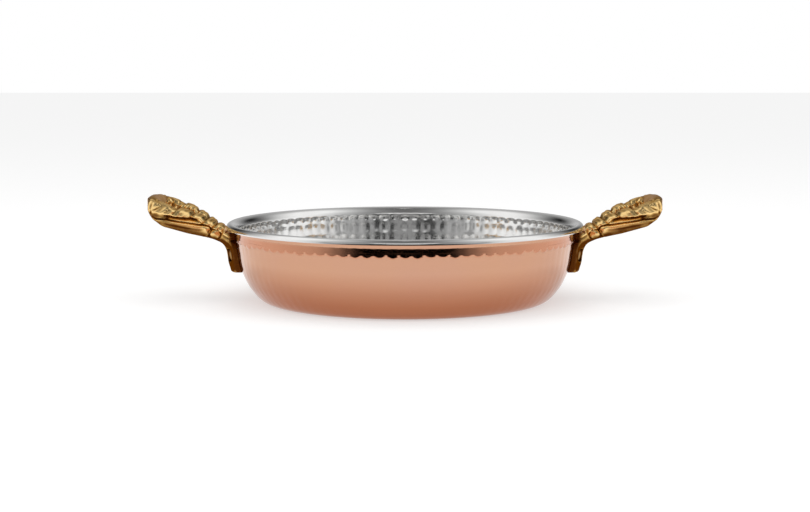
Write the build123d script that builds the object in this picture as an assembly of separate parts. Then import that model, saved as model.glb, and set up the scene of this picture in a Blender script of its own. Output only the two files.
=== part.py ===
from build123d import *
import os
from math import asin, atan, cos, degrees, radians, sin, sqrt, tan

# Shallow two-handled egg pan: one spun copper sheet with a rolled-over brim, and on each
# side a cast brass loop handle of acanthus leaves, held by two rivets through the wall.
# Millimetres, +Z up, handles along X, origin on the table at the middle of the base.

# Pan body
rim_radius = 100.0
pan_height = 44.0
sheet = 1.3
corner_radius = 10.0
corner_turn = 45.0
belly_radius = 37.0
wall_lean = 82.0
neck_height = 3.1
flare_run = 1.7
lip_run = 0.6
brim_turn = 30.0

# Handle loop, on its own sloping plane: u runs outwards, v sideways, w square to both
loop_rise = 24.0
neck_below_crest = 6.3
loop_length = 46.9
loop_half_width = 25.0
widest_at = 31.0
neck_half_width = 5.5
neck_flare = 1.0
neck_end = 5.0
corner_setback = 3.5
bow_half_width = 9.0
bar_width = 9.3
opening_apex = 15.5
opening_half_width = 15.0
bar_bottom = -6.1
bar_top = 3.4
bar_bevel = 2.0
corner_round = 6.0
opening_round = 3.0

# Leaf lobes on top of each arm: where each ends, and how far each swells
lobe_ends = (1.5, 6.6, 13.4, 22.0, 31.5)
lobe_swell = 1.1
leaf_base = 2.2
leaf_height_neck = 2.9
leaf_height_bow = 4.7
bow_fall = 0.8
vein_width = 0.9
vein_depth = 1.1
vein_sweep = 38.0
vein_length = 14.0
fan_grooves = 5
fan_spread = 84.0
fan_groove_length = 15.0

# Lower leaf on the outer side of each arm, ending in a curled tip
side_leaf_length = 25.0
side_leaf_height = 6.4
side_leaf_proud = 1.5
side_leaf_start = 5.0
curl_radius = 2.4

# Foot of the handle
foot_half_width = 13.0
foot_bottom = 16.4
foot_top = 33.7
foot_thickness = 6.6
foot_edge = 3.2
foot_shoulder = 2.0
foot_round = 4.0
knee_half_width = 7.0
knee_round = 8.0
seat_gap = 0.1
brim_gap = 0.6
relief_height = 6.0

# Rivets
rivet_side = 6.5
rivet_height = 26.5
shank_radius = 2.0
rivet_fit = 0.03
head_radius = 3.2
head_height = 1.4
inner_head_radius = 3.6
inner_head_height = 1.0
spot_margin = 0.5
spot_depth = 3.9
head_gap = 0.1

# How far cutters and overlapping pieces reach past the faces that they meet
reach_past = 1.0
drill_length = 20.0

corner_a = radians(corner_turn)
lean = radians(wall_lean)
curves_rise = corner_radius * (1 - cos(corner_a)) + belly_radius * (cos(corner_a) - cos(lean))
curves_reach = corner_radius * sin(corner_a) + belly_radius * (sin(lean) - sin(corner_a))
flare_headings = [radians(90 - brim_turn * n) for n in (1, 2)]
lip_headings = [radians(90 - brim_turn * n) for n in (3, 4, 5, 6)]
brim_rise = flare_run * sum(sin(h) for h in flare_headings)
brim_reach = flare_run * sum(cos(h) for h in flare_headings) + lip_run * sum(cos(h) for h in lip_headings)
wall_rise = pan_height - sheet - brim_rise - neck_height - curves_rise
wall_run = wall_rise / sin(lean)
neck_radius = rim_radius + sheet * sin(lip_headings[-1]) - brim_reach
wall_foot_radius = neck_radius - wall_run * cos(lean)
flat_radius = wall_foot_radius - curves_reach
wall_foot_height = curves_rise


def heading_vector(angle):
    """Direction in the section plane, as radius and height."""
    return Vector(cos(angle), sin(angle))


def pan_contour(depth):
    """Edges of the section from the axis to the brim's edge, `depth` inside the outer face."""
    edges = [Line((0, depth), (flat_radius, depth))]

    def bend(radius, turn):
        """Round stretch that turns upwards and carries on tangent."""
        edges.append(JernArc(edges[-1] @ 1, edges[-1] % 1, radius - depth, turn))

    bend(corner_radius, corner_turn)
    bend(belly_radius, wall_lean - corner_turn)
    runs = [(wall_run, lean), (neck_height, radians(90))]
    runs += [(flare_run, h) for h in flare_headings] + [(lip_run, h) for h in lip_headings]
    for here, (length, heading) in enumerate(runs):
        before = runs[here - 1][1] if here else heading
        after = runs[here + 1][1] if here + 1 < len(runs) else heading
        mitre = depth * (tan((heading - before) / 2) + tan((after - heading) / 2))
        start = edges[-1] @ 1
        edges.append(Line(start, start + heading_vector(heading) * (length - mitre)))
    return edges


def turned(edges):
    """Solid of revolution of a closed section."""
    return revolve(Plane.XZ * make_face(edges), Axis.Z)


def copper_pan():
    """The spun sheet, with a round hole for each rivet."""
    outer, inner = pan_contour(0), pan_contour(sheet)
    section = [*outer, Line(outer[-1] @ 1, inner[-1] @ 1), *inner, Line(inner[0] @ 0, outer[0] @ 0)]
    pan = turned(section)
    for place in rivet_places():
        pan -= place * Cylinder(shank_radius + rivet_fit, drill_length)
    return pan


def pan_envelope(clearance):
    """Everything inside the pan's outer face up to the brim, with a clearance, to seat a casting against."""
    outer = pan_contour(-clearance)[: -len(flare_headings + lip_headings)]
    top = outer[-1] @ 1
    return turned([*outer, Line(top, (0, top.Y)), Line((0, top.Y), outer[0] @ 0)])


def wall_radius(height):
    """Outer radius of the straight wall at a height."""
    return wall_foot_radius + (height - wall_foot_height) / tan(lean)


def rivet_places():
    """Where the rivets cross the outer face of the wall, z outwards and square to the wall."""
    swing = degrees(asin(rivet_side / wall_radius(rivet_height)))
    places = []
    for side in (0, 180):
        for turn in (-swing, swing):
            on_wall = Location((wall_radius(rivet_height), 0, rivet_height), (0, 180 - wall_lean, 0))
            places.append(Location((0, 0, 0), (0, 0, side + turn)) * on_wall)
    return places


def rivet():
    """Rivet upset at both ends, z outwards from the wall's outer face."""
    inside = -sheet - head_gap
    inner_top, outer_top = inside - inner_head_height, spot_depth + head_height
    half = Polyline(
        (0, inner_top),
        (inner_head_radius - inner_head_height, inner_top),
        (inner_head_radius, inside),
        (shank_radius, inside),
        (shank_radius, spot_depth),
        (head_radius, spot_depth),
        (head_radius - head_height, outer_top),
        (0, outer_top),
        close=True,
    )
    return turned(half.edges())


neck_level = pan_height - neck_below_crest
rise = radians(loop_rise)
loop_plane = Plane(
    (rim_radius, 0, neck_level),
    x_dir=(cos(rise), 0, sin(rise)),
    z_dir=(-sin(rise), 0, cos(rise)),
)
side_plane = Plane(loop_plane.origin, x_dir=loop_plane.x_dir, z_dir=(0, -1, 0))
bow_inside = loop_length - bar_width
arm_start = (neck_end, neck_half_width + neck_flare)
arm_end = (widest_at, loop_half_width)
arm_slope = (arm_end[1] - arm_start[1]) / (arm_end[0] - arm_start[0])
arm_angle = degrees(atan(arm_slope))


def arm_edge(u):
    """Point on the straight outer edge of the left-hand arm, seen from above."""
    return Vector(u, arm_start[1] + (u - arm_start[0]) * arm_slope)


def both_sides(half):
    """Closed outline from its half at v > 0, which runs from the neck to the bow."""
    return make_face(Polyline(*half, *[(u, -v) for u, v in reversed(half)], close=True))


def loop_outline():
    """Outline of the loop from above, with round corners at the bow."""
    shoulder = (loop_length - corner_setback, loop_half_width - corner_setback)
    outline = both_sides(
        [(-neck_end, neck_half_width), arm_start, arm_end, shoulder, (loop_length, bow_half_width)]
    )
    return fillet([v for v in outline.vertices() if v.X > neck_end + reach_past], corner_round)


def loop_opening():
    """Rounded triangular finger opening."""
    shoulder = (bow_inside - corner_setback, opening_half_width)
    bow_corner = (bow_inside, opening_half_width - corner_setback)
    opening = both_sides([(opening_apex, opening_round), shoulder, bow_corner])
    return fillet(opening.vertices(), opening_round)


def loop_bar():
    """The bevelled bar that the leaves lie on."""
    slab = extrude(loop_outline() - loop_opening(), bar_top - bar_bottom)
    rims = [e for e in slab.edges().filter_by(Plane.XY) if (e @ 0.5).X > -neck_end + seat_gap]
    return loop_plane * Pos(0, 0, bar_bottom) * chamfer(rims, bar_bevel)


def swollen(first, last, swell):
    """Leaf lobe: the segment between a chord and the arc that bulges to its left."""
    first, last = Vector(first), Vector(last)
    chord = last - first
    crown = (first + last) * 0.5 + Vector(-chord.Y, chord.X).normalized() * swell
    return make_face([ThreePointArc(first, crown, last), Line(last, first)])


def leaf_level(u):
    """Height of the leaf's top between its lobes, rising from the neck to the bow."""
    return leaf_height_neck + (leaf_height_bow - leaf_height_neck) * u / lobe_ends[-1]


def upper_leaf():
    """Lobed acanthus leaf over both arms and the bow."""
    plan = loop_outline() - loop_opening()
    profile = Polyline(
        (-neck_end, leaf_base),
        (-neck_end, leaf_level(-neck_end)),
        (lobe_ends[-1], leaf_height_bow),
        (loop_length - bar_width / 2, leaf_height_bow - bow_fall),
        (loop_length + reach_past, leaf_base),
        close=True,
    )
    side = make_face(profile)
    for first, last in zip(lobe_ends, lobe_ends[1:]):
        side += swollen((last, leaf_level(last)), (first, leaf_level(first)), -lobe_swell)
        lobe = swollen(arm_edge(first), arm_edge(last), lobe_swell)
        plan += lobe + mirror(lobe, Plane.XZ)
    raised = loop_plane * Pos(0, 0, leaf_base) * extrude(plan, 2 * leaf_height_bow)
    return raised & (side_plane * extrude(side, 2 * loop_half_width, both=True))


def groove(length):
    """Vein cut: a long prism with its sharp edge down, starting at the origin along x."""
    corners = [(-vein_width, vein_depth), (vein_width, vein_depth), (0, -vein_depth)]
    return extrude(Plane.YZ * make_face(Polyline(*corners, close=True)), length)


def leaf_veins():
    """Grooves between the lobes, and a fan of grooves on each corner of the bow."""
    veins = []
    for u in lobe_ends:
        edge = arm_edge(u) + Vector(reach_past, reach_past)
        turn = 180 + arm_angle + vein_sweep
        veins.append(Location((edge.X, edge.Y, leaf_level(u)), (0, 0, turn)) * groove(vein_length))
    fan_root = (loop_length - corner_setback, loop_half_width - 2 * corner_setback, leaf_height_bow)
    for n in range(fan_grooves):
        turn = 180 + arm_angle + fan_spread * (n / (fan_grooves - 1) - 1 / 2)
        veins.append(Location(fan_root, (0, 0, turn)) * groove(fan_groove_length))
    return [loop_plane * side for vein in veins for side in (vein, mirror(vein, Plane.XZ))]


def side_leaf():
    """Long leaf on the outer side of one arm, thickest at its curled tip by the neck."""
    curl_level = bar_bottom + side_leaf_height - curl_radius
    blade = make_face(
        Polyline(
            (curl_radius, bar_bottom + bar_bevel / 2),
            (side_leaf_length, bar_bottom + bar_bevel / 2),
            (side_leaf_length, bar_bottom + side_leaf_height / 2),
            (curl_radius, curl_level + curl_radius),
            close=True,
        )
    )
    outline = blade + Pos(curl_radius, curl_level) * Circle(curl_radius)
    root = arm_edge(side_leaf_start)
    place = loop_plane * Location((root.X, root.Y - reach_past, 0), (0, 0, arm_angle)) * Rot(90, 0, 0)
    return place * extrude(outline, -(side_leaf_proud + reach_past))


def foot_pad():
    """Tongue that lies on the wall, round-backed and thickest in the middle."""
    reach = wall_radius(foot_top) + 2 * foot_thickness
    outline = make_face(
        Polyline(
            (-foot_half_width, foot_top),
            (-foot_half_width, foot_bottom + foot_half_width),
            (-foot_half_width + foot_shoulder, foot_bottom),
            (foot_half_width - foot_shoulder, foot_bottom),
            (foot_half_width, foot_bottom + foot_half_width),
            (foot_half_width, foot_top),
            close=True,
        )
    )
    outline = fillet([v for v in outline.vertices() if v.Y < foot_top], foot_round)
    tongue = extrude(Plane.YZ * outline, reach)
    middle = wall_radius(foot_bottom)
    drop = foot_thickness - foot_edge + middle - sqrt(middle**2 - foot_half_width**2)
    back_radius = (foot_half_width**2 + drop**2) / (2 * drop)
    axis_at = (middle + foot_thickness - back_radius, 0, foot_bottom)
    back = Location(axis_at, (0, 90 - wall_lean, 0)) * Cylinder(back_radius, 4 * foot_half_width)
    return tongue & back


def knee():
    """Web that bends from the foot out under the brim into the loop."""
    def across(u, w):
        """Point of the loop's side view, as radius and height."""
        spot = side_plane.from_local_coords(Vector(u, w))
        return Vector(spot.X, spot.Z)

    low = Vector(wall_radius(foot_bottom) + foot_thickness, foot_bottom + foot_round)
    back = heading_vector(lean)
    under = heading_vector(rise)
    start = across(0, bar_bottom)
    gap = start - low
    bend = low + back * ((gap.X * under.Y - gap.Y * under.X) / (back.X * under.Y - back.Y * under.X))
    inside = low - Vector(foot_thickness, 0)
    outline = make_face(
        Polyline(
            inside,
            low,
            bend,
            across(opening_apex - opening_round, bar_bottom),
            across(opening_apex - opening_round, 0),
            across(-neck_end, 0),
            Vector(inside.X, across(-neck_end, 0).Y),
            close=True,
        )
    )
    near_bend = [v for v in outline.vertices() if (Vector(v.X, v.Y) - bend).length < seat_gap]
    return Plane.XZ * extrude(fillet(near_bend, knee_round), knee_half_width, both=True)


def right_handle():
    """One casting: loop, leaves, knee and foot, seated on the wall clear of the brim."""
    leaf = side_leaf()
    handle = loop_bar() + upper_leaf() + leaf + mirror(leaf, Plane.XZ) + knee() + foot_pad()
    relief_low = pan_height - relief_height
    relief = Pos(0, 0, relief_low + rim_radius / 2) * Cylinder(rim_radius + brim_gap, rim_radius)
    handle = handle - leaf_veins() - relief - pan_envelope(seat_gap)
    spot_face = Pos(0, 0, spot_depth + drill_length / 2) * Cylinder(head_radius + spot_margin, drill_length)
    for place in rivet_places()[:2]:
        handle -= place * Cylinder(shank_radius + rivet_fit, drill_length)
        handle -= place * spot_face
    return handle


def write(name, shape):
    """One STEP file per node."""
    export_step(shape, os.path.join("parts", name + ".step"))


os.makedirs("parts", exist_ok=True)
right = right_handle()
write("copper_pan", copper_pan())
write("handle_right", right)
write("handle_left", mirror(right, Plane.YZ))
write("handle_rivets", Compound([place * rivet() for place in rivet_places()]))
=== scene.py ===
"""Hammered copper egg pan, tinned inside, with two cast brass leaf handles."""

import logging
import math
from dataclasses import dataclass
from enum import Enum

import bpy
import numpy as np
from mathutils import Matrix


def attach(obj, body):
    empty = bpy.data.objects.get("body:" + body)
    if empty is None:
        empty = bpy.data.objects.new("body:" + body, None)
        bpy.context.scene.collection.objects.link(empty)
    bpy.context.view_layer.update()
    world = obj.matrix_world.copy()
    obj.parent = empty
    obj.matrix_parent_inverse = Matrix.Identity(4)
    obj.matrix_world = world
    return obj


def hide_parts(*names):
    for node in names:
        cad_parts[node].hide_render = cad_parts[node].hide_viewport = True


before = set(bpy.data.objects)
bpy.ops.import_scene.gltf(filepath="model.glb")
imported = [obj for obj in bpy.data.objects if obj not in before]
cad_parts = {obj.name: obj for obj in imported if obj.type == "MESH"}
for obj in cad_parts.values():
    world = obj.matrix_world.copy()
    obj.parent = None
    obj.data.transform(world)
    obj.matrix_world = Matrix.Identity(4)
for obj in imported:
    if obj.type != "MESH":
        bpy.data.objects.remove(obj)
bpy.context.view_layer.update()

import openvdb
from mathutils import Vector

MM = 0.001
Array = np.ndarray
Pair = tuple[float, float]
Triple = tuple[float, float, float]
Line = tuple[Pair, ...]
Socket = bpy.types.NodeSocket
Owner = bpy.types.Material | bpy.types.World
log = logging.getLogger("egg_pan")


class Side(Enum):
    """Which end of the X axis a handle sits on."""

    RIGHT = 1.0
    LEFT = -1.0


class Skin(Enum):
    """Face of the sheet that a shell carries."""

    COPPER = "copper_shell"
    TIN = "tin_lining"


class Recipe:
    """Node tree of a material or a world."""

    def __init__(self, owner: Owner, output: str = "OutputMaterial") -> None:
        """Start with nothing but the output node.

        Args:
            owner: The material or world.
            output: Type of its output node without the ShaderNode prefix.
        """
        owner.use_nodes = True
        self.owner = owner
        self.tree = owner.node_tree
        self.tree.nodes.clear()
        self.output = self.node(output)

    def node(self, kind: str, inputs: dict | None = None, **settings: object) -> bpy.types.Node:
        """Add a node.

        Args:
            kind: Node type without its ShaderNode prefix.
            inputs: Socket name or number to a value, or to the socket that feeds it.
            **settings: Properties of the node itself.

        Returns:
            The new node.
        """
        made = self.tree.nodes.new("ShaderNode" + kind)
        for name, value in settings.items():
            setattr(made, name, value)
        for name, value in (inputs or {}).items():
            socket = made.inputs[name]
            if isinstance(value, Socket):
                self.tree.links.new(value, socket)
            else:
                socket.default_value = (*value, 1.0) if socket.type == "RGBA" else value
        return made

    def math(self, operation: str, first: object, second: object = 0.0) -> Socket:
        """Result socket of a Math node."""
        return self.node("Math", {0: first, 1: second}, operation=operation).outputs[0]

    def blend(self, share: Socket, first: object, second: object) -> Socket:
        """Colour socket between two colours, at a share from 0 to 1."""
        return self.node("Mix", {0: share, 6: first, 7: second}, data_type="RGBA").outputs[2]

    def ramp(self, value: object, low: float, high: float, start: float = 0.0, end: float = 1.0) -> Socket:
        """Value mapped from low..high to start..end and held there."""
        inputs = {"Value": value, "From Min": low, "From Max": high, "To Min": start, "To Max": end}
        return self.node("MapRange", inputs).outputs[0]

    def attribute(self, name: str) -> Socket:
        """Value that the mesh keeps for each point under a name."""
        return self.node("Attribute", attribute_name=name).outputs["Fac"]

    def noise(self, scale: float, detail: float, stretch: Triple = (1, 1, 1)) -> Socket:
        """Noise over the object's own coordinates.

        Args:
            scale: Cycles per metre.
            detail: Number of finer layers in it.
            stretch: Factor on the cycles along each axis.

        Returns:
            Its value's socket, from 0 to 1.
        """
        where = self.node("TexCoord").outputs["Object"]
        placed = self.node("Mapping", {"Vector": where, "Scale": stretch}).outputs[0]
        return self.node("TexNoise", {"Vector": placed, "Scale": scale, "Detail": detail}).outputs["Fac"]

    def seen(self) -> Socket:
        """Tell camera, mirror and glass rays from the others.

        Returns:
            Socket that is 1 for those three and 0 for the rest.
        """
        path = self.node("LightPath").outputs
        direct = self.math("MAXIMUM", path["Is Camera Ray"], path["Is Glossy Ray"])
        return self.math("MAXIMUM", direct, path["Is Transmission Ray"])

    def metal(self, bump: float, relief: Socket, rest: dict) -> Owner:
        """Finish as bare metal, with a relief of up to 0.1 mm times bump and the rest of its inputs."""
        bumps = self.node("Bump", {"Strength": bump, "Distance": 0.1 * MM, "Height": relief}).outputs[0]
        return self.finish(self.node("BsdfPrincipled", {"Metallic": 1.0, "Normal": bumps} | rest).outputs[0])

    def finish(self, shader: Socket) -> Owner:
        """Join the shader to the output and hand the material or world over."""
        self.tree.links.new(shader, self.output.inputs["Surface"])
        return self.owner


@dataclass(frozen=True)
class PolishedSheet:
    """Polished sheet metal with a faint cloudy bloom and fine polishing lines."""

    name: str
    colour: Triple
    bloom: Triple
    roughness: float
    bump: float
    # Painted shade: a darker tone towards the base, standing in for the dim reflection of the shaded floor by
    # the pan.
    base_shade_tone: Triple
    # Painted shade under the brim, down to the top ring's scallops.
    brim_shade_tone: Triple
    rough_spread: float = 0.02
    low_height: float = 0.007
    high_height: float = 0.026
    cloud_scale: float = 34.0
    cloud_range: Pair = (0.38, 0.68)
    line_scale: float = 260.0
    line_stretch: Triple = (1, 1, 7)
    line_range: Pair = (0.35, 0.65)

    def material(self) -> Owner:
        """Build the material, with painted shade towards the base and painted shade under the brim where the
        mesh asks for it.

        Returns:
            The finished metal.
        """
        recipe = Recipe(bpy.data.materials.new(self.name))
        clouds = recipe.noise(self.cloud_scale, 4.0)
        lines = recipe.noise(self.line_scale, 3.0, self.line_stretch)
        upper = recipe.blend(recipe.ramp(clouds, *self.cloud_range), self.colour, self.bloom)
        height = recipe.node("SeparateXYZ", {0: recipe.node("TexCoord").outputs["Object"]}).outputs[2]
        # Painted shade: darker and redder towards the base, for the dim reflection of the shaded floor there.
        base_shade_share = recipe.ramp(height, self.low_height, self.high_height, 1.0, 0.0)
        colour = recipe.blend(base_shade_share, upper, self.base_shade_tone)
        # Painted shade under the brim, at the share that the mesh keeps for each point.
        colour = recipe.blend(recipe.attribute("brim_shade"), colour, self.brim_shade_tone)
        smoothest, roughest = self.roughness - self.rough_spread, self.roughness + self.rough_spread
        rough = recipe.ramp(lines, *self.line_range, smoothest, roughest)
        return recipe.metal(self.bump, lines, {"Base Color": colour, "Roughness": rough})


@dataclass(frozen=True)
class CastBrass:
    """Tumbled cast brass: bright high spots, brown tarnish in the hollows, and painted shade wherever the
    mesh's attribute asks for it.
    """

    name: str
    bright: Triple
    olive: Triple
    # Darkest tone: tarnish in the hollows, and painted shade where the mesh asks for it.
    tarnish_and_shade_tone: Triple
    roughness: float
    bump: float = 0.12
    tarnish_roughness: float = 0.3
    blotch_scale: float = 150.0
    blotch_range: Pair = (0.3, 0.7)
    blotch_size: float = 0.07
    grain_scale: float = 1700.0
    olive_range: Pair = (0.25, 0.6)
    tarnish_and_shade_range: Pair = (0.55, 0.9)
    rough_range: Pair = (0.3, 0.9)
    edge_tint: Triple = (0.72, 0.52, 0.36)

    def material(self) -> Owner:
        """Build the material, which reads the mesh's own attribute of tarnish and painted shade.

        Returns:
            The finished metal.
        """
        recipe = Recipe(bpy.data.materials.new(self.name))
        blotches = recipe.noise(self.blotch_scale, 3.0)
        blotches = recipe.ramp(blotches, *self.blotch_range, -self.blotch_size, self.blotch_size)
        tarnish_and_shade = recipe.math("ADD", recipe.attribute("tarnish_and_shade"), blotches)
        toned = recipe.blend(recipe.ramp(tarnish_and_shade, *self.olive_range), self.bright, self.olive)
        # Tarnish in the hollows, and painted shade where the mesh's attribute is high.
        tarnished_and_shaded = recipe.blend(recipe.ramp(tarnish_and_shade, *self.tarnish_and_shade_range), toned, self.tarnish_and_shade_tone)
        roughest = self.roughness + self.tarnish_roughness
        rough = recipe.ramp(tarnish_and_shade, *self.rough_range, self.roughness, roughest)
        inputs = {"Base Color": tarnished_and_shaded, "Roughness": rough, "Specular Tint": self.edge_tint}
        return recipe.metal(self.bump, recipe.noise(self.grain_scale, 3.0), inputs)


@dataclass(frozen=True)
class Paper:
    """Matt white floor that a camera and a mirror see as white, with a soft shadow."""

    name: str = "floor_paper"
    colour: Triple = (0.55, 0.55, 0.55)
    glow: float = 0.50

    def material(self) -> Owner:
        """Build the floor's material.

        Returns:
            Diffuse paper plus a glow that only camera, mirror and glass rays see.
        """
        recipe = Recipe(bpy.data.materials.new(self.name))
        glow = recipe.node("Emission", {"Strength": recipe.math("MULTIPLY", recipe.seen(), self.glow)})
        diffuse = recipe.node("BsdfDiffuse", {"Color": self.colour})
        return recipe.finish(recipe.node("AddShader", {0: glow.outputs[0], 1: diffuse.outputs[0]}).outputs[0])


@dataclass(frozen=True)
class CardPaint:
    """Plain paint of a studio card that only mirrors see, whose level is on the card's mesh."""

    name: str

    def material(self) -> Owner:
        """Material that glows at the mesh's own level."""
        recipe = Recipe(bpy.data.materials.new(self.name))
        return recipe.finish(recipe.node("Emission", {"Strength": recipe.attribute("level")}).outputs[0])


# Both finishes carry painted shade towards the base, and the copper also carries it under the brim.
COPPER = PolishedSheet(
    "polished_copper", (0.61, 0.335, 0.215), (0.60, 0.33, 0.225), 0.12, 0.04,
    base_shade_tone=(0.50, 0.197, 0.103), brim_shade_tone=(0.60, 0.275, 0.165),
)
TIN = PolishedSheet(
    "wiped_tin", (0.87, 0.87, 0.86), (0.81, 0.80, 0.79), 0.13, 0.05,
    base_shade_tone=(0.83, 0.83, 0.82), brim_shade_tone=(0.83, 0.83, 0.82),
)
BRASS = CastBrass("cast_brass", (0.98, 0.675, 0.285), (0.55, 0.32, 0.095), (0.115, 0.033, 0.005), 0.20)
# Painted shade: the rivets take a dark copy of the handle's brass, standing for the shade round their heads.
SHADED_RIVET_BRASS = CastBrass("rivet_brass", (0.36, 0.21, 0.09), (0.25, 0.13, 0.05), (0.10, 0.04, 0.01), 0.30)


def add_mesh(name: str, points: Array, faces: Array | list, finish: Owner) -> bpy.types.Object:
    """Put a mesh object into the scene.

    Args:
        name: Name of the object.
        points: One row per vertex, in metres.
        faces: Vertex numbers of each face.
        finish: Its material.

    Returns:
        The object.
    """
    mesh = bpy.data.meshes.new(name)
    mesh.from_pydata(points.tolist(), [], list(faces))
    mesh.materials.append(finish)
    made = bpy.data.objects.new(name, mesh)
    bpy.context.scene.collection.objects.link(made)
    log.info("%s: %d points, %d faces", name, len(points), len(faces))
    return made


def shade_smooth(piece: bpy.types.Object) -> None:
    """Shade a piece smooth, apart from edges where it turns by 50 degrees or more."""
    piece.data.polygons.foreach_set("use_smooth", np.ones(len(piece.data.polygons), dtype=bool))
    piece.data.set_sharp_from_angle(angle=math.radians(50))


def set_levels(piece: bpy.types.Object, name: str, levels: Array) -> None:
    """Keep a value for each point of a piece, which its material reads under the name."""
    piece.data.attributes.new(name, "FLOAT", "POINT").data.foreach_set("value", levels)


def band(ring: tuple[int, int], following: tuple[int, int]) -> list:
    """Faces between two rings of points, where one may have half as many as the other.

    Args:
        ring: First point and number of points of the one ring.
        following: The same of the other ring.

    Returns:
        The faces.
    """
    (low, low_count), (high, high_count) = ring, following
    if low_count > high_count:
        return [face[::-1] for face in band(following, ring)]
    faces = []
    for n in range(low_count):
        m = (n + 1) % low_count
        if low_count == high_count:
            faces.append([low + n, low + m, high + m, high + n])
        else:
            a, b, c = high + 2 * n, high + 2 * n + 1, high + (2 * n + 2) % high_count
            faces += [[low + n, b, a], [low + n, low + m, b], [low + m, c, b]]
    return faces


def closed_skin(counts: list[int]) -> list:
    """Faces of a skin over rings of points that follow each other, closed at both ends.

    Args:
        counts: Number of points in each ring.

    Returns:
        The faces.
    """
    rings = [(sum(counts[:n]), count) for n, count in enumerate(counts)]
    faces = []
    for ring, following in zip(rings, rings[1:]):
        faces += band(ring, following)
    first, last = ([start + n for n in range(count)] for start, count in (rings[0], rings[-1]))
    return [*faces, first[::-1], last]


def smooth_min(first: Array, second: Array, width: float) -> Array:
    """Lesser of two fields, with the crease between them rounded over a width."""
    share = np.clip(0.5 + 0.5 * (second - first) / width, 0.0, 1.0)
    return second + (first - second) * share - width * share * (1.0 - share)


def smooth_max(first: Array, second: Array, width: float) -> Array:
    """Greater of two fields, with the crease between them rounded over a width."""
    return -smooth_min(-first, -second, width)


def step_up(value: Array, width: float) -> Array:
    """Soft step from 0 to 1 as value passes 0, over a width to each side."""
    share = np.clip(0.5 + 0.5 * value / width, 0.0, 1.0)
    return share * share * (3.0 - 2.0 * share)


def span(value: Array, start: float, rise: float, end: float, fall: float) -> Array:
    """1 from start to end and 0 beyond, through soft steps of the widths rise and fall."""
    return step_up(value - start, rise) * step_up(end - value, fall)


def bell(value: Array, width: float) -> Array:
    """Smooth hump that is 1 where value is 0 and falls off over a width to each side."""
    return np.exp(-((value / width) ** 2))


def curve(where: Array, line: Line) -> Array:
    """Values of a line through a few points, held beyond its ends."""
    return np.interp(where, [point[0] for point in line], [point[1] for point in line])


@dataclass
class SheetSection:
    """Half section of the sheet's outer face, as headings along its length, in millimetres."""

    rim_radius: float = 99.98
    height: float = 44.0
    sheet: float = 1.3
    corner_radius: float = 10.0
    corner_turn: float = 45.0
    belly_radius: float = 37.0
    wall_lean: float = 82.0
    turn_up: float = 0.6
    neck_height: float = 1.7
    flare_run: float = 1.3
    flare_heading: float = 78.0
    cove_radius: float = 4.5
    cove_heading: float = 30.0
    lip_radius: float = 1.1
    lip_heading: float = -88.0
    lip_drop: float = 0.5
    fine_step: float = 0.02
    first_flat: float = 50.0

    def __post_init__(self) -> None:
        """Lay out the runs, solving the wall's run and the floor's radius from height and rim."""
        self.trace(0.0, self.first_flat)
        crest = (self.z + self.sheet * np.cos(self.heading)).max()
        wall_run = (self.height - crest) / math.sin(math.radians(self.wall_lean))
        self.trace(wall_run, self.first_flat)
        edge = (self.r - self.sheet * np.sin(self.heading)).max()
        self.trace(wall_run, self.first_flat + self.rim_radius - edge)

    def trace(self, wall_run: float, flat: float) -> None:
        """Follow the headings and keep radius, height and heading along the length.

        Args:
            wall_run: Length of the straight wall.
            flat: Radius of the flat floor.
        """
        bends = [
            (flat, 0.0),
            (self.corner_radius * math.radians(self.corner_turn), self.corner_turn),
            (self.belly_radius * math.radians(self.wall_lean - self.corner_turn), self.wall_lean),
            (wall_run, self.wall_lean),
            (self.turn_up, 90.0),
            (self.neck_height, 90.0),
            (self.flare_run, self.flare_heading),
            (self.cove_radius * math.radians(self.flare_heading - self.cove_heading), self.cove_heading),
            (self.lip_radius * math.radians(self.cove_heading - self.lip_heading), self.lip_heading),
            (self.lip_drop, self.lip_heading),
        ]
        knots = np.concatenate([[0.0], np.cumsum([length for length, _ in bends])])
        self.floor_end, self.corner_end, self.belly_end = knots[1:4]
        self.neck_low, self.neck_high = knots[5:7]
        self.lip_start, self.end = knots[8], knots[-1]
        headings = np.radians([0.0] + [heading for _, heading in bends])
        self.s = np.arange(0.0, self.end + self.fine_step / 2, self.fine_step)
        self.heading = np.interp(self.s, knots, headings)
        self.r = np.concatenate([[0.0], np.cumsum(np.cos(self.heading[:-1]) * self.fine_step)])
        self.z = np.concatenate([[0.0], np.cumsum(np.sin(self.heading[:-1]) * self.fine_step)])

    def at(self, s: float, depth: float) -> tuple[float, ...]:
        """Place at a depth below the outer face.

        Args:
            s: Length along the section.
            depth: Depth into the sheet.

        Returns:
            Radius, height, and the outer face's normal as radius and height parts.
        """
        heading = np.interp(s, self.s, self.heading)
        out_r, out_z = np.sin(heading), -np.cos(heading)
        r = np.interp(s, self.s, self.r) - depth * out_r
        z = np.interp(s, self.s, self.z) - depth * out_z
        return float(r), float(z), float(out_r), float(out_z)

    def wall_at(self, height: Array) -> Array:
        """Radius of the outer face at a height, up to the top of the neck."""
        below_brim = self.s <= self.neck_high
        return np.interp(height, self.z[below_brim], self.r[below_brim])


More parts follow.
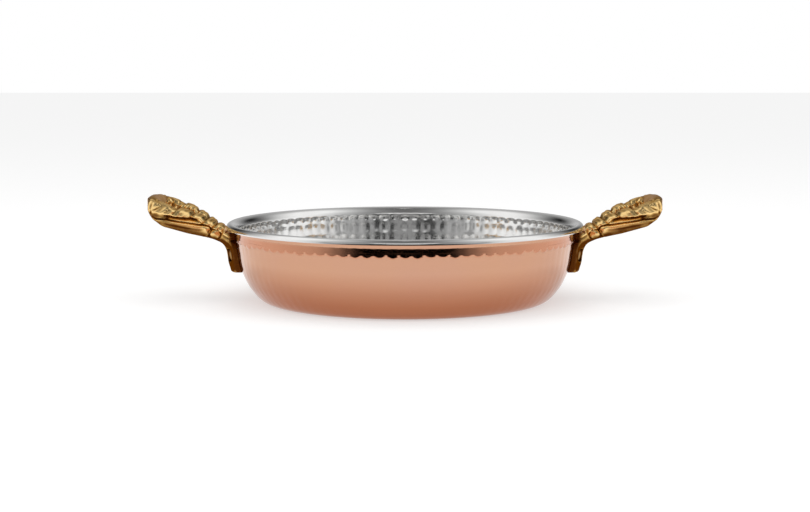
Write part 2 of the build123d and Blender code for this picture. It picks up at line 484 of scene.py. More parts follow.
@dataclass
class HammerMarks:
    """Rings of planished marks pressed outwards from inside, each a shallow oval dish."""

    section: SheetSection
    per_ring: int = 92
    pitch: float = 7.6
    dish: float = 0.22
    top_dish: float = 2.0
    between: float = 0.12
    mean_push: float = 0.35
    spread: float = 0.14
    drift_spread: float = 0.05
    softness: float = 12.0
    reach: float = 1.6
    top_gap: float = 1.0
    top_fade: float = 1.2
    scallop_least: float = 0.42
    scallop_bow: float = 0.58
    scallop_power: float = 0.45
    scallop_drift: float = 0.6
    seed: int = 7

    def __post_init__(self) -> None:
        """Place the rings from the top of the wall down to the middle of the floor."""
        self.top = self.section.neck_high + self.top_gap
        rows = int(self.top / self.pitch)
        self.levels = self.top - np.arange(rows) * self.pitch
        radii = np.interp(self.levels, self.section.s, self.section.r)
        fit = np.maximum(np.round(self.per_ring * radii / radii[0]).astype(int), 1)
        self.counts = np.where(self.levels > self.section.floor_end, self.per_ring, fit)
        draw = np.random.default_rng(self.seed)
        shape = (rows, self.per_ring)
        self.drift = draw.normal(0.0, self.drift_spread, (2, *shape))
        self.force = np.clip(draw.normal(1.0, self.spread, shape), 0.5, 1.5)

    def press(self, s: float, turns: Array) -> Array:
        """Outward push of the marks on one ring of points.

        Args:
            s: Length along the section.
            turns: Angle of each point round the pan, in turns.

        Returns:
            Push in dish depths, under 0 between the marks and over 0 in them.
        """
        total = np.zeros_like(turns)
        for row in np.flatnonzero(np.abs(self.levels - s) < self.reach * self.pitch):
            count = self.counts[row]
            shifted = turns * count
            sharpness = self.softness * (self.top_dish if row == 0 else 1.0)
            for step in (0, 1):
                number = (np.floor(shifted).astype(int) + step) % count
                across = shifted - np.floor(shifted) - step + self.drift[0, row, number]
                along = (s - self.levels[row]) / self.pitch + self.drift[1, row, number]
                total += np.exp(sharpness * (self.force[row, number] - 4 * (across**2 + along**2)))
        push = np.log(total + math.exp(self.softness * self.between)) / self.softness
        return (push - self.mean_push) * np.clip((self.top - s) / self.top_fade, 0.0, 1.0)

    def scallops(self, turns: Array) -> Array:
        """Rounded lower edges of the top ring's marks.

        Args:
            turns: Angle of each point round the pan, in turns.

        Returns:
            Share of the full drop, least between the marks and about 1 in their middles.
        """
        shifted = turns * self.per_ring
        nearest = np.floor(shifted + 0.5)
        number = nearest.astype(int) % self.per_ring
        across = shifted - nearest + self.scallop_drift * self.drift[0, 0, number]
        bow = np.cos(np.pi * np.clip(across, -0.5, 0.5)) ** self.scallop_power
        return self.scallop_least + self.scallop_bow * self.force[0, number] * bow


@dataclass
class HammeredPan:
    """The pan as two closed shells that share the sheet's thickness: copper and its tin coat."""

    section: SheetSection
    marks: HammerMarks
    columns: int = 736
    most_halvings: int = 5
    full_columns_radius: float = 46.0
    tin: float = 0.5
    copper_share: float = 0.45
    base_fade: float = 12.0
    neck_fade: float = 0.85
    neck_fade_drop: float = 3.5
    neck_fade_width: float = 2.0
    scallop_drop: float = 2.8
    scallop_edge: float = 0.3
    brim_shade_rise: float = 0.4
    brim_shade_edge: float = 0.5
    floor_step: float = 1.5
    wall_step: float = 0.9
    scallop_step: float = 0.3
    brim_step: float = 0.5
    lip_step: float = 0.25
    hidden_step: float = 8.0
    hidden_corner_step: float = 2.6
    hidden_belly_step: float = 5.0
    hidden_brim_step: float = 0.9
    hub_radius: float = 1.5

    def stations(self, skin: Skin) -> list[tuple[float, float, bool]]:
        """Rows of a shell from its visible middle over the edge to its hidden middle.

        Args:
            skin: Which shell.

        Returns:
            Length along the section, depth in the sheet and whether it shows, for each row.
        """
        cut, copper = self.section, skin is Skin.COPPER
        scallop_low = cut.neck_low - 1.4 * self.scallop_drop
        shown_runs = [
            (self.hub_radius, cut.floor_end, self.hidden_step if copper else self.floor_step),
            (cut.floor_end, scallop_low, self.wall_step),
            (scallop_low, cut.neck_low, self.scallop_step if copper else self.wall_step),
            (cut.neck_low, cut.lip_start, self.brim_step),
        ]
        hidden_runs = [
            (self.hub_radius, cut.floor_end, self.hidden_step),
            (cut.floor_end, cut.corner_end, self.hidden_corner_step),
            (cut.corner_end, cut.belly_end, self.hidden_belly_step),
            (cut.belly_end, cut.neck_low, self.hidden_step),
            (cut.neck_low, cut.end, self.hidden_brim_step),
        ]
        lip = np.linspace(cut.lip_start, cut.end, int((cut.end - cut.lip_start) / self.lip_step))
        shown = np.concatenate([*(np.arange(*run) for run in shown_runs), lip])
        hidden = np.concatenate([*(np.arange(*run) for run in hidden_runs), [cut.end]])[::-1]
        outside = 0.0 if copper else cut.sheet
        rows = [(s, outside, True) for s in shown]
        return rows + [(s, cut.sheet - self.tin, False) for s in hidden]

    def column_count(self, radius: float) -> int:
        """Points round a ring, halved each time that the ring gets half as large."""
        halvings = math.ceil(math.log2(self.full_columns_radius / radius))
        return self.columns >> min(max(halvings, 0), self.most_halvings)

    def outside(self, s: float, turns: Array) -> tuple[float, Array, Array]:
        """What shows outside: fainter marks, and scallops that hang from the neck with painted shade under
        the brim.

        Args:
            s: Length along the section.
            turns: Angle of each point round the pan, in turns.

        Returns:
            Share of the marks' depth, push of the scallops in millimetres and share of the painted shade
            under the brim.
        """
        share = self.copper_share * np.clip((s - self.section.floor_end) / self.base_fade, 0.0, 1.0)
        below = self.section.neck_low - s
        share *= 1.0 - self.neck_fade * step_up(self.neck_fade_drop - below, self.neck_fade_width)
        scallop = step_up(self.scallop_drop * self.marks.scallops(turns) - below, self.scallop_edge)
        upright = math.tan(math.radians(90.0 - self.section.wall_lean)) * max(below, 0.0)
        # Painted shade under the brim: the band from the scallops' edges up to the neck takes the darker
        # tone.
        under_brim = step_up(self.section.neck_high + self.brim_shade_rise - s, self.brim_shade_edge)
        return share, upright * scallop, under_brim * scallop

    def shell(self, skin: Skin) -> tuple[Array, list, Array]:
        """Points and faces of one closed shell.

        Args:
            skin: Which shell.

        Returns:
            Points in metres, faces that look outwards, and each point's share of the groove's tone.
        """
        points, counts, brim_shades = [], [], []
        for s, depth, shown in self.stations(skin):
            r, z, out_r, out_z = self.section.at(s, depth)
            count = self.column_count(r)
            turns = np.arange(count) / count
            share, push, brim_shade = float(shown), np.zeros(count), np.zeros(count)
            if shown and skin is Skin.COPPER:
                share, push, brim_shade = self.outside(s, turns)
            push = push + share * self.marks.dish * self.marks.press(s, turns)
            ring_r, angle = r + push * out_r, 2 * np.pi * turns
            points.append(np.column_stack([ring_r * np.cos(angle), ring_r * np.sin(angle), z + push * out_z]))
            counts.append(count)
            brim_shades.append(brim_shade)
        faces = closed_skin(counts)
        if skin is Skin.TIN:
            faces = [face[::-1] for face in faces]
        return np.concatenate(points) * MM, faces, np.concatenate(brim_shades)

    def build(self) -> None:
        """Make both shells and set them in the frame."""
        for skin, finish, slot in ((Skin.COPPER, COPPER, "copper"), (Skin.TIN, TIN, "tin")):
            points, faces, brim_shades = self.shell(skin)
            piece = add_mesh(skin.value, points, faces, finish.material())
            shade_smooth(piece)
            set_levels(piece, "brim_shade", brim_shades)
            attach(piece, "root")
            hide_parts("copper_pan")


@dataclass
class Outline:
    """Closed outline symmetric about the handle's middle line, given by its half at v > 0."""

    corners: list[Pair]
    rounds: list[float]
    arc_steps: int = 8

    def __post_init__(self) -> None:
        """Round the corners and keep the half's points and lengths."""
        corners = np.array(self.corners)
        ends = np.vstack([corners[0] * (1, -1), corners, corners[-1] * (1, -1)])
        points = []
        for before, here, after, radius in zip(ends, corners, ends[2:], self.rounds):
            if radius == 0:
                points.append(here)
                continue
            back, on = before - here, after - here
            back, on = back / np.linalg.norm(back), on / np.linalg.norm(on)
            reach = radius / math.tan(math.acos(np.clip(back @ on, -1, 1)) / 2)
            for t in np.linspace(0, 1, self.arc_steps):
                points.append(here + back * reach * (1 - t) ** 2 + on * reach * t**2)
        self.half = np.array(points)
        runs = np.linalg.norm(np.diff(self.half, axis=0), axis=1)
        self.lengths = np.concatenate([[0], np.cumsum(runs)])

    def field(self, u: Array, v: Array) -> tuple[Array, Array]:
        """Distance to the outline and place along it.

        Args:
            u: Distances out from the neck.
            v: Distances sideways.

        Returns:
            Signed distance, under 0 inside, and length along the half outline of its nearest point.
        """
        across = np.abs(v)
        nearest = np.full(u.shape, np.inf)
        along = np.zeros(u.shape)
        inside = np.zeros(u.shape, bool)
        closed = np.vstack([self.half, self.half[::-1] * (1, -1)])
        for first, last, length in zip(self.half, self.half[1:], self.lengths):
            run = last - first
            size = np.linalg.norm(run)
            t = np.clip(((u - first[0]) * run[0] + (across - first[1]) * run[1]) / size**2, 0, 1)
            gap = np.hypot(u - first[0] - t * run[0], across - first[1] - t * run[1])
            along = np.where(gap < nearest, length + t * size, along)
            nearest = np.minimum(gap, nearest)
        for first, last in zip(closed, np.roll(closed, -1, axis=0)):
            if first[1] != last[1]:
                crossing = (first[1] > v) != (last[1] > v)
                meet = first[0] + (v - first[1]) / (last[1] - first[1]) * (last[0] - first[0])
                inside ^= crossing & (u < meet)
        return np.where(inside, -nearest, nearest), along


@dataclass
class LeafCasting:
    """Brass loop handle with acanthus leaves, a curled lower leaf, a shell fan and a riveted foot.

    The loop lies on a sloping plane: u runs outwards, v sideways and w square to both, and p is
    the length along the outline from the neck, all in millimetres. The casting is one field,
    under 0 inside, whose zero surface becomes the mesh.
    """

    section: SheetSection
    rivets: "Rivets"
    voxel: float = 0.3
    grid_low: Triple = (-18.5, -27.5, -25.0)
    grid_high: Triple = (50.0, 27.5, 8.5)
    loop_rise: float = 24.0
    neck_below_crest: float = 6.3
    neck_end: float = 5.0
    seat_gap: float = 0.1
    brim_gap: float = 0.6
    relief_height: float = 6.0
    notches: tuple = (-4.0, 1.5, 7.4, 14.5, 23.5, 34.0)
    slit_line: Line = ((16, 1.6), (22.7, 1.2), (29, -0.5), (36.2, -2.3), (47.5, -5.0))
    leaf_line: Line = ((0, -1.2), (8, 0), (16, 0.9), (22.7, 1.9), (29, 0.4), (36.2, -1.5), (47.5, -4.4))
    curl_line: Line = ((9, -1.2), (11.4, 0.2), (13, 0.2), (17.3, -1), (25.6, -2.3), (37.5, -4), (43, -6.2))
    top_line: Line = ((-5, 1.6), (0, 1.8), (7, 2.3), (16, 3.3), (22, 3.6), (31, 3.2), (40, 2.8), (47, 2.5))
    under_line: Line = ((5, -6.15), (12, -6.7), (19, -7.6), (33, -8.4), (38.8, -7.4), (44, -5), (47.5, -2))
    relief_floor: float = -9.0
    side_swell: float = 1.5
    top_swell: float = 1.6
    vein_depth: float = 0.10
    vein_pitch: float = 3.4
    rib_height: float = 0.6
    slit_depth: float = 2.4
    seam_depth: float = 0.9
    curl_height: float = 0.9
    curl_vein_depth: float = 0.2
    bead_height: float = 1.7
    bead_ring: float = 0.5
    fan_root: Pair = (47.5, -3.7)
    fan_start: float = 0.35
    fan_ridges: float = 6.0
    fan_pit: float = 0.9
    top_fan_root: Pair = (41.0, 19.5)
    top_fan_ridges: float = 9.0
    arm_middle: float = 4.6
    foot_half_width: float = 13.0
    foot_bottom: float = 16.4
    foot_top: float = 33.7
    foot_thickness: float = 6.6
    foot_edge: float = 3.2
    foot_shoulder: float = 2.0
    riser_half_width: float = 6.6
    riser_bottom: float = 19.0
    smooth_rounds: int = 2
    hollow_rounds: int = 24
    hollow_scale: float = 0.45
    wall_shade_reach: float = 4.6

    def __post_init__(self) -> None:
        """Lay out the grid and the two outlines of the loop."""
        rise = math.radians(self.loop_rise)
        self.cos, self.sin = math.cos(rise), math.sin(rise)
        self.neck_level = self.section.height - self.neck_below_crest
        self.axes = [np.arange(low, high, self.voxel) for low, high in zip(self.grid_low, self.grid_high)]
        self.outer = Outline(
            [(-self.neck_end, 5.5), (5.0, 6.5), (31.2, 24.6), (43.6, 21.4), (47.5, 9.0), (47.5, 0.0)],
            [0, 4.0, 6.0, 5.0, 6.0, 0],
        )
        self.inner = Outline(
            [(15.5, 0.0), (15.5, 3.0), (33.7, 15.0), (37.3, 11.5), (37.3, 0.0)],
            [0, 2.6, 3.0, 3.0, 0],
        )

    def upright(self, u: Array, w: Array) -> tuple[Array, Array]:
        """Distance out from the pan's middle and height above the table of places in the loop."""
        x = self.section.rim_radius + u * self.cos - w * self.sin
        return x, self.neck_level + u * self.sin + w * self.cos

    def grid_places(self) -> tuple[Array, Array, Array]:
        """Distances outwards, sideways and up of the whole grid, in the pan's own directions."""
        x, z = self.upright(*np.meshgrid(self.axes[0], self.axes[2], indexing="ij"))
        return x[:, None, :], self.axes[1][None, :, None], z[:, None, :]

    def lobes(self, place: Array) -> tuple[Array, Array]:
        """Swell of the leaf lobes and depth of their veins at a place along the leaf.

        Args:
            place: Length along the leaf.

        Returns:
            Swell, 0 in the notches and 1 on the crests, and vein, 1 along a lobe's middle.
        """
        notches = np.array(self.notches)
        number = np.clip(np.searchsorted(notches, place) - 1, 0, len(notches) - 2)
        start, end = notches[number], notches[number + 1]
        share = np.clip((place - start) / (end - start), 0.0, 1.0)
        return (4 * share * (1 - share)) ** 0.6, bell(share - 0.5, 0.13)

    def side_relief(self, p: Array, w: Array) -> Array:
        """How far the outer side stands proud of its plain outline.

        Args:
            p: Length along the outline.
            w: Height across the loop.

        Returns:
            Relief in millimetres.
        """
        # Upper leaf: lobes with side veins, a rib along the lower edge and a slit under it
        leaf_low = curve(p, self.leaf_line)
        swell, vein = self.lobes(p - 0.2 * (4.5 - w))
        deeper = 0.7 + 1.8 * step_up(p - 27.0, 6.0)
        fine = self.vein_depth * deeper * np.cos(2 * np.pi * (p + 0.55 * w) / self.vein_pitch)
        shown = step_up(w - leaf_low, 0.5) * step_up(42.0 - p, 4.0)
        relief = shown * (self.side_swell * swell - 0.4 * vein + fine)
        relief += self.rib_height * bell(w - leaf_low - 0.9, 0.85) * span(p, 20, 6, 50, 4)
        relief -= self.slit_depth * bell(w - curve(p, self.slit_line), 1.1) * span(p, 19, 2.5, 39, 3)

        # Curled lower leaf: the seam over it, its body, tip and vein, and the bead before it
        above = w - curve(p, self.curl_line)
        relief -= self.seam_depth * bell(above - 0.35, 0.4) * span(p, 8.5, 1, 43, 5)
        relief += self.curl_height * step_up(-above, 0.45) * span(p, 9.6, 0.8, 47, 8)
        relief += self.curl_height * bell(p - 12.4, 2.4) * bell(w + 1.9, 2.2)
        relief -= self.curl_vein_depth * bell(above + 2.2, 0.45) * span(p, 14, 2, 36, 5)
        reach = ((p - 5.6) / 3.2) ** 2 + ((w + 2.6) / 2.5) ** 2
        bead = self.bead_height * np.sqrt(np.clip(1 - reach, 0, 1))
        bead -= self.bead_ring * np.exp(-((reach - 1.15) ** 2) * 18)
        relief += bead * step_up(9.4 - p, 0.6)

        # Shell fan, whose ridges spread from a pit
        along, up = p - self.fan_root[0], w - self.fan_root[1]
        reach = np.hypot(along, up)
        turn = np.arctan2(up, -along) - self.fan_start
        ridges = np.abs(np.cos(0.5 * self.fan_ridges * turn))
        shown = step_up(turn, 0.12) * step_up(reach - 1.2, 0.8) * step_up(p - 36, 3)
        relief += shown * np.minimum(reach / 3.5, 1.0) * (0.85 * ridges**0.8 - 0.2)
        return relief - self.fan_pit * bell(reach, 0.9)

    def top_level(self, u: Array, v: Array, p: Array, edge: Array) -> Array:
        """Height of the leaf's upper side over the plan.

        Args:
            u: Distances out from the neck.
            v: Distances sideways.
            p: Length along the outline.
            edge: Distance in from the outline.

        Returns:
            Height across the loop, in millimetres.
        """
        off_middle = np.abs(edge - self.arm_middle)
        swell, vein = self.lobes(5.0 + (u - 5.0) / 0.823)
        before_fan = step_up(38.5 - p, 1.5)
        midrib = 0.5 * bell(off_middle, 0.7) * step_up(p - 4, 3)
        fine = self.vein_depth * np.cos(2 * np.pi * (u - 0.5 * off_middle) / self.vein_pitch)
        leaf = before_fan * (self.top_swell * swell - 0.15 * vein + fine - midrib)
        out, aside = u - self.top_fan_root[0], np.abs(v) - self.top_fan_root[1]
        ridges = np.abs(np.cos(0.5 * self.top_fan_ridges * np.arctan2(aside, out)))
        fan = (1 - before_fan) * np.minimum(np.hypot(out, aside) / 4, 1.0) * 0.7 * ridges
        return curve(u, self.top_line) + leaf + fan - 0.045 * off_middle**2

    def loop_field(self) -> Array:
        """Field of the loop with its leaves.

        Returns:
            Its values over the whole grid.
        """
        u, v = np.meshgrid(self.axes[0], self.axes[1], indexing="ij")
        w = self.axes[2][None, None, :]
        outer, along = self.outer.field(u, v)
        inner, inner_along = self.inner.field(u, v)
        p = along - self.neck_end
        top = self.top_level(u, v, p, -outer)[:, :, None]
        under = curve(u, self.under_line)[:, :, None]
        side = np.repeat(outer[:, :, None], w.size, axis=2)
        shown = self.axes[2] > self.relief_floor
        side[:, :, shown] -= self.side_relief(p[:, :, None], w[:, :, shown])
        ribs = 0.4 * np.cos(2 * np.pi * inner_along / self.vein_pitch)[:, :, None] * step_up(w + 0.5, 1.5)
        hole = -inner[:, :, None] + 0.15 - ribs * (np.abs(v) > 4)[:, :, None]
        body = smooth_max(side, hole, 1.5)
        body = smooth_max(body, w - top, 1.6)
        body = smooth_max(body, under - w, 4.2)
        return np.maximum(body, -self.neck_end - u[:, :, None])

    def foot_field(self) -> Array:
        """Field of the foot on the wall and the riser under the brim.

        Returns:
            Its values over the whole grid.
        """
        x, v, z = self.grid_places()
        lean = math.radians(self.section.wall_lean)
        sin, cos = math.sin(lean), math.cos(lean)
        middle = float(self.section.wall_at(self.foot_bottom))
        sagitta = middle - math.sqrt(middle**2 - self.foot_half_width**2)
        drop = self.foot_thickness - self.foot_edge + sagitta
        back_radius = (self.foot_half_width**2 + drop**2) / (2 * drop)
        up, across = z - self.foot_bottom, np.abs(v)
        off_axis = (x - middle - self.foot_thickness + back_radius) * sin - up * cos
        back = np.sqrt(off_axis**2 + v**2) - back_radius
        slant = (across - self.foot_half_width + self.foot_shoulder) * self.foot_half_width
        slant = (slant - up * self.foot_shoulder) / math.hypot(self.foot_shoulder, self.foot_half_width)
        outline = smooth_max(across - self.foot_half_width, slant, 3.0)
        outline = smooth_max(outline, -0.2 - up, 1.4)
        outline = smooth_max(outline, z - self.foot_top, 5.0)
        foot = smooth_max(back, outline, 0.9)
        riser = (x - middle - self.foot_thickness + 0.4) * sin - up * cos
        riser = smooth_max(riser, across - self.riser_half_width, 3.0)
        riser = smooth_max(riser, self.riser_bottom - z, 5.0)
        riser = np.maximum(riser, z - self.neck_level - 2.0)
        return smooth_min(foot, riser, 3.5)

    def seat_field(self) -> Array:
        """Field of what the casting leaves free: the pan, its brim and the rivets' spot faces.

        Returns:
            Its values over the whole grid, over 0 where nothing may be.
        """
        x, v, z = self.grid_places()
        radius = np.sqrt(x**2 + v**2)
        wall = self.section.wall_at(z) + self.seat_gap - radius
        relief_low = self.section.height - self.relief_height
        brim = np.minimum(self.section.rim_radius + self.brim_gap - radius, z - relief_low)
        taken = smooth_max(wall, brim, 0.5)
        for place, outwards in self.rivets.places(Side.RIGHT):
            from_wall = [x - place[0], v - place[1], z - place[2]]
            depth = sum(a * b for a, b in zip(from_wall, outwards))
            off_axis = np.sqrt(np.maximum(sum(a * a for a in from_wall) - depth**2, 0.0))
            spot = np.minimum(self.rivets.spot_radius - off_axis, depth - self.rivets.spot_depth)
            taken = smooth_max(taken, spot, 0.3)
        return taken

    def surface(self) -> tuple[Array, Array]:
        """Skin of the casting, in the loop's own directions.

        Returns:
            Its points and its quads.
        """
        body = smooth_min(self.loop_field(), self.foot_field(), 3.5)
        body = smooth_max(body, self.seat_field(), 0.35)
        grid = openvdb.FloatGrid(background=self.voxel * 3)
        grid.copyFromArray(np.ascontiguousarray(body, dtype=np.float32))
        points, quads = grid.convertToQuads(isovalue=0.0)
        return self.grid_low + points * self.voxel, quads

    def averaged(self, points: Array, quads: Array, rounds: int) -> Array:
        """Points each moved to the mean of their neighbours, over and over.

        Args:
            points: The points.
            quads: The faces that join them.
            rounds: How often.

        Returns:
            The averaged points.
        """
        pairs = np.concatenate([quads[:, [n, (n + 1) % 4]] for n in range(4)])
        own, other = np.concatenate([pairs, pairs[:, ::-1]]).T
        count = np.bincount(own, minlength=len(points))[:, None]
        for _ in range(rounds):
            total = [np.bincount(own, points[other, axis], len(points)) for axis in range(3)]
            points = points * 0.4 + np.column_stack(total) / count * 0.6
        return points

    def outward(self, points: Array, quads: Array) -> tuple[Array, Array]:
        """Turn the quads to look outwards.

        Args:
            points: The skin's points.
            quads: Its quads, all turned the same way.

        Returns:
            The quads and the unit normal at each point.
        """
        corners = points[quads]
        normals = np.cross(corners[:, 2] - corners[:, 0], corners[:, 3] - corners[:, 1])
        summed = np.zeros_like(points)
        for n in range(4):
            np.add.at(summed, quads[:, n], normals)
        summed /= np.linalg.norm(summed, axis=1, keepdims=True) + 1e-12
        inwards = (corners[:, 0] * normals).sum() < 0
        return (quads[:, ::-1], -summed) if inwards else (quads, summed)

    def build(self) -> None:
        """Make both handles, the left one as the mirror image of the right one."""
        points, quads = self.surface()
        points = self.averaged(points, quads, self.smooth_rounds)
        quads, normals = self.outward(points, quads)
        blurred = self.averaged(points, quads, self.hollow_rounds)
        tarnish_and_shade = 0.4 + ((blurred - points) * normals).sum(axis=1) / self.hollow_scale
        u, v, w = points.T
        x, z = self.upright(u, w)
        # Painted shade added to the hollows' tarnish: darker close to the wall under the brim, a little
        # darker below the neck, and darker on the curl's underside.
        off_wall = np.hypot(x, v) - self.section.wall_at(z)
        wall_shade = 0.92 * step_up(self.wall_shade_reach - off_wall, 2.6)
        wall_shade *= step_up(self.section.height - 4.0 - z, 2.0)
        tarnish_and_shade += 0.15 * step_up(self.neck_level - 1.0 - z, 2.0) + 0.6 * step_up(-3.6 - w, 1.8)
        tarnish_and_shade = np.clip(np.maximum(tarnish_and_shade, wall_shade), 0, 1)
        brass = BRASS.material()
        for side in Side:
            turned = quads if side is Side.RIGHT else quads[:, ::-1]
            name = f"{side.name.lower()}_leaf_handle"
            placed = np.column_stack([x * side.value, v, z]) * MM
            piece = add_mesh(name, placed, turned.tolist(), brass)
            shade_smooth(piece)
            set_levels(piece, "tarnish_and_shade", tarnish_and_shade)
            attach(piece, "root")
            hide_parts(f"handle_{side.name.lower()}")


@dataclass
class Rivets:
    """Four brass rivets, two through each foot, upset at both ends."""

    section: SheetSection
    side: float = 6.5
    height: float = 26.5
    head_radius: float = 3.2
    head_height: float = 1.1
    inner_radius: float = 3.6
    inner_height: float = 1.0
    shank_radius: float = 2.0
    spot_radius: float = 3.7
    spot_depth: float = 3.9
    head_gap: float = 0.1
    unevenness: float = 0.02
    rows: int = 9
    columns: int = 40
    seed: int = 3

    def places(self, end: Side) -> list[tuple[Array, Array]]:
        """Where the rivets of one handle cross the wall's outer face.

        Args:
            end: Which handle.

        Returns:
            Place and outward direction of each.
        """
        lean = math.radians(self.section.wall_lean)
        radius = float(self.section.wall_at(self.height))
        flip = np.array([end.value, 1.0, 1.0])
        found = []
        for side in (-1, 1):
            turn = side * math.asin(self.side / radius)
            along = np.array([math.cos(turn), math.sin(turn), 0.0])
            outwards = np.array([*(along[:2] * math.sin(lean)), -math.cos(lean)])
            place = along * radius + np.array([0.0, 0.0, self.height])
            found.append((place * flip, outwards * flip))
        return found

    def outline(self) -> list[Pair]:
        """Half section of a rivet, from the middle of its inner head to that of its outer head.

        Returns:
            Radius and distance out from the wall's outer face, for each point.
        """
        inside = -self.section.sheet - self.head_gap
        angles = np.linspace(0, math.pi / 2, self.rows)
        sines, cosines = np.sin(angles), np.cos(angles)
        inner = zip(self.inner_radius * sines[1:], inside - self.inner_height * cosines[1:])
        outer = zip(self.head_radius * cosines[:-1], self.spot_depth + self.head_height * sines[:-1])
        return [*inner, (self.shank_radius, inside), (self.shank_radius, self.spot_depth), *outer]

    def build(self) -> None:
        """Make all four as one piece."""
        draw = np.random.default_rng(self.seed)
        outline = self.outline()
        skin = closed_skin([self.columns] * len(outline))
        turn = 2 * np.pi * np.arange(self.columns) / self.columns
        points, faces = [], []
        for place, outwards in self.places(Side.RIGHT) + self.places(Side.LEFT):
            sideways = np.cross([0.0, 0.0, 1.0], outwards)
            sideways /= np.linalg.norm(sideways)
            upwards = np.cross(outwards, sideways)
            first = len(points) * self.columns
            faces += [[first + n for n in face] for face in skin]
            for r, out in outline:
                size = r * (1 + self.unevenness * draw.normal(size=self.columns).cumsum() / 6)
                ring = np.outer(np.cos(turn) * size, sideways) + np.outer(np.sin(turn) * size, upwards)
                points.append(place + outwards * out + ring)
        piece = add_mesh("wall_rivets", np.concatenate(points) * MM, faces, SHADED_RIVET_BRASS.material())
        shade_smooth(piece)
        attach(piece, "root")
        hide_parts("handle_rivets")


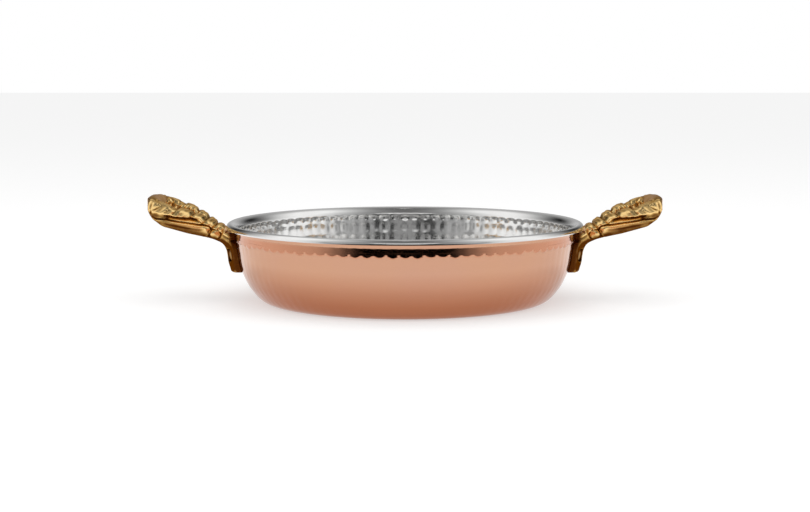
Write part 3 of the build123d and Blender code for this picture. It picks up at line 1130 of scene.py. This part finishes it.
@dataclass(frozen=True)
class Studio:
    """Camera, floor, cards and lamps, in metres and degrees, with lens and sensor in millimetres."""

    look_at: Triple = (0.0, 0.0, 0.020)
    distance: float = 0.950
    elevation: float = 6.90
    lens: float = 74.93
    sensor: float = 36.0
    shift_down: float = 0.0096
    floor_size: float = 12.0
    sky_level: float = 0.75
    tent_radius: float = 1.9
    tent_step: float = 2.5
    neck_card_radius: float = 0.22
    neck_card_step: float = 3.0
    neck_card_edges: Pair = (0.0005, 0.045)

    def camera(self) -> None:
        """Set the camera at the photograph's viewing angle."""
        data = bpy.data.cameras.new("camera")
        data.lens, data.sensor_width, data.shift_y = self.lens, self.sensor, self.shift_down
        camera = bpy.data.objects.new("camera", data)
        rise = math.radians(self.elevation)
        back = Vector((0.0, -math.cos(rise), math.sin(rise)))
        camera.location = Vector(self.look_at) + back * self.distance
        camera.rotation_mode = "QUATERNION"
        camera.rotation_quaternion = (-back).to_track_quat("-Z", "Y")
        bpy.context.scene.collection.objects.link(camera)
        bpy.context.scene.camera = camera

    def card(self, name: str, finish: Owner, grid: Array) -> bpy.types.Object:
        """A studio card or floor, which isn't part of the object.

        Args:
            name: Name of the card.
            finish: Its material.
            grid: Its points in rows and columns, in metres.

        Returns:
            The card.
        """
        rows, columns = grid.shape[:2]
        first = (np.arange(rows - 1)[:, None] * columns + np.arange(columns - 1)).ravel()
        faces = np.column_stack([first, first + 1, first + columns + 1, first + columns])
        card = add_mesh(name, grid.reshape(-1, 3), faces.tolist(), finish)
        return card

    def mirror_card(self, name: str, grid: Array, levels: Array) -> None:
        """A card that only mirror rays see.

        Args:
            name: Name of the card.
            grid: Its points in rows and columns, in metres.
            levels: Its brightness at each point, from 0 to 1.
        """
        card = self.card(name, CardPaint(name).material(), grid)
        set_levels(card, "level", levels.ravel())
        card.visible_camera = card.visible_diffuse = card.visible_shadow = False
        card.visible_transmission = card.visible_volume_scatter = False

    def tent_level(self, turn: Array, rise: Array) -> Array:
        """Level of the tent round the pan: soft boxes at both sides, dark overhead and in front.

        Args:
            turn: Degrees round from the camera's side, from 0 to 180.
            rise: Degrees above the floor.

        Returns:
            Levels from 0 to 1.
        """

        def lobe(at_turn: float, at_rise: float, wide: float, high: float) -> Array:
            """Soft round patch, 1 in its middle."""
            return bell(turn - at_turn, wide) * bell(rise - at_rise, high)

        level = 0.15 + 0.9 * bell(turn - 90.0, 45.0) * step_up(68.0 - rise, 18.0)
        level += 0.3 * lobe(125.0, 55.0, 30.0, 18.0) + 0.42 * lobe(180.0, 35.0, 24.0, 40.0)
        level += 0.17 * lobe(0.0, 5.0, 25.0, 10.0) + 0.2 * lobe(172.0, 3.0, 40.0, 9.0)
        level *= (1.0 - 0.8 * lobe(140.0, 18.0, 32.0, 17.0)) * (1.0 - 0.95 * lobe(150.0, 21.0, 10.0, 8.0))
        for start, end, dark in ((11.0, 23.0, 0.85), (45.0, 53.0, 0.5)):
            level *= 1.0 - dark * span(turn, start, 2.0, end, 2.0) * step_up(16.0 - rise, 2.0)
        level *= 1.0 - 0.6 * step_up(40.0 - turn, 8.0) * step_up(7.5 - rise, 1.5)
        strip = step_up(20.0 - turn, 4.0) * span(rise, 19.0, 2.0, 29.0, 2.0)
        return np.clip(level + 0.8 * strip, 0.0, 1.0)

    def tent(self) -> None:
        """Put up the tent, a dome that only mirror rays see."""
        turn, rise = np.meshgrid(np.arange(-180, 180.1, self.tent_step), np.arange(-2, 90.1, self.tent_step))
        flat, up = np.radians(turn), np.radians(rise)
        grid = np.stack([np.sin(flat) * np.cos(up), -np.cos(flat) * np.cos(up), np.sin(up)], axis=-1)
        self.mirror_card("light_tent", grid * self.tent_radius, self.tent_level(np.abs(turn), rise))

    def neck_card(self) -> None:
        """Put up the low bowed card in front, black in its middle and white at its ends."""
        turn, up = np.meshgrid(np.arange(-90.0, 90.1, self.neck_card_step), self.neck_card_edges)
        flat, off = np.radians(turn), np.abs(turn)
        levels = 0.8 * step_up(off - 37.0, 15.0) + 0.2 * step_up(off - 65.0, 20.0)
        across, ahead = np.sin(flat) * self.neck_card_radius, np.cos(flat) * self.neck_card_radius
        self.mirror_card("neck_card", np.stack([across, -ahead, up], axis=-1), levels)

    def lamp(self, name: str, place: Triple, size: float, power: float) -> None:
        """A square soft lamp that points at the pan.

        Args:
            name: Name of the lamp.
            place: Where it hangs, in metres.
            size: Length of its side, in metres.
            power: Its power, in watts.
        """
        data = bpy.data.lights.new(name, "AREA")
        data.size, data.energy = size, power
        lamp = bpy.data.objects.new(name, data)
        lamp.location = place
        lamp.rotation_mode = "QUATERNION"
        lamp.rotation_quaternion = (Vector(self.look_at) - lamp.location).to_track_quat("-Z", "Y")
        lamp.visible_glossy = False
        bpy.context.scene.collection.objects.link(lamp)

    def world(self) -> None:
        """White to camera, mirror and glass rays, and a plain grey sky light to the rest."""
        recipe = Recipe(bpy.data.worlds.new("white_studio"), "OutputWorld")
        level = recipe.ramp(recipe.seen(), 0.0, 1.0, self.sky_level, 1.0)
        sky = recipe.node("Background", {"Color": (1.0, 1.0, 1.0), "Strength": level})
        bpy.context.scene.world = recipe.finish(sky.outputs[0])

    def build(self) -> None:
        """Put up the studio."""
        self.camera()
        self.world()
        half = self.floor_size / 2
        across, along = np.meshgrid([-half, half], [-half, half])
        self.card("floor", Paper().material(), np.stack([across, along, 0 * across], axis=-1))
        self.tent()
        self.neck_card()
        self.lamp("top_lamp", (0.0, -0.2, 1.1), 0.9, 3.0)
        self.lamp("left_lamp", (-1.1, -0.5, 0.7), 0.5, 2.0)
        self.lamp("right_lamp", (1.1, -0.5, 0.7), 0.5, 2.0)


def main() -> None:
    """Build the studio and the pan with its handles and rivets, and log the floor's radius and the section's
    length.
    """
    logging.basicConfig(level=logging.INFO, format="%(name)s %(message)s")
    bpy.context.scene.view_settings.view_transform = "Standard"
    Studio().build()
    section = SheetSection()
    log.info("floor radius %.2f mm, section %.2f mm long", section.floor_end, section.end)
    HammeredPan(section, HammerMarks(section)).build()
    rivets = Rivets(section)
    LeafCasting(section, rivets).build()
    rivets.build()


if __name__ == "__main__":
    main()
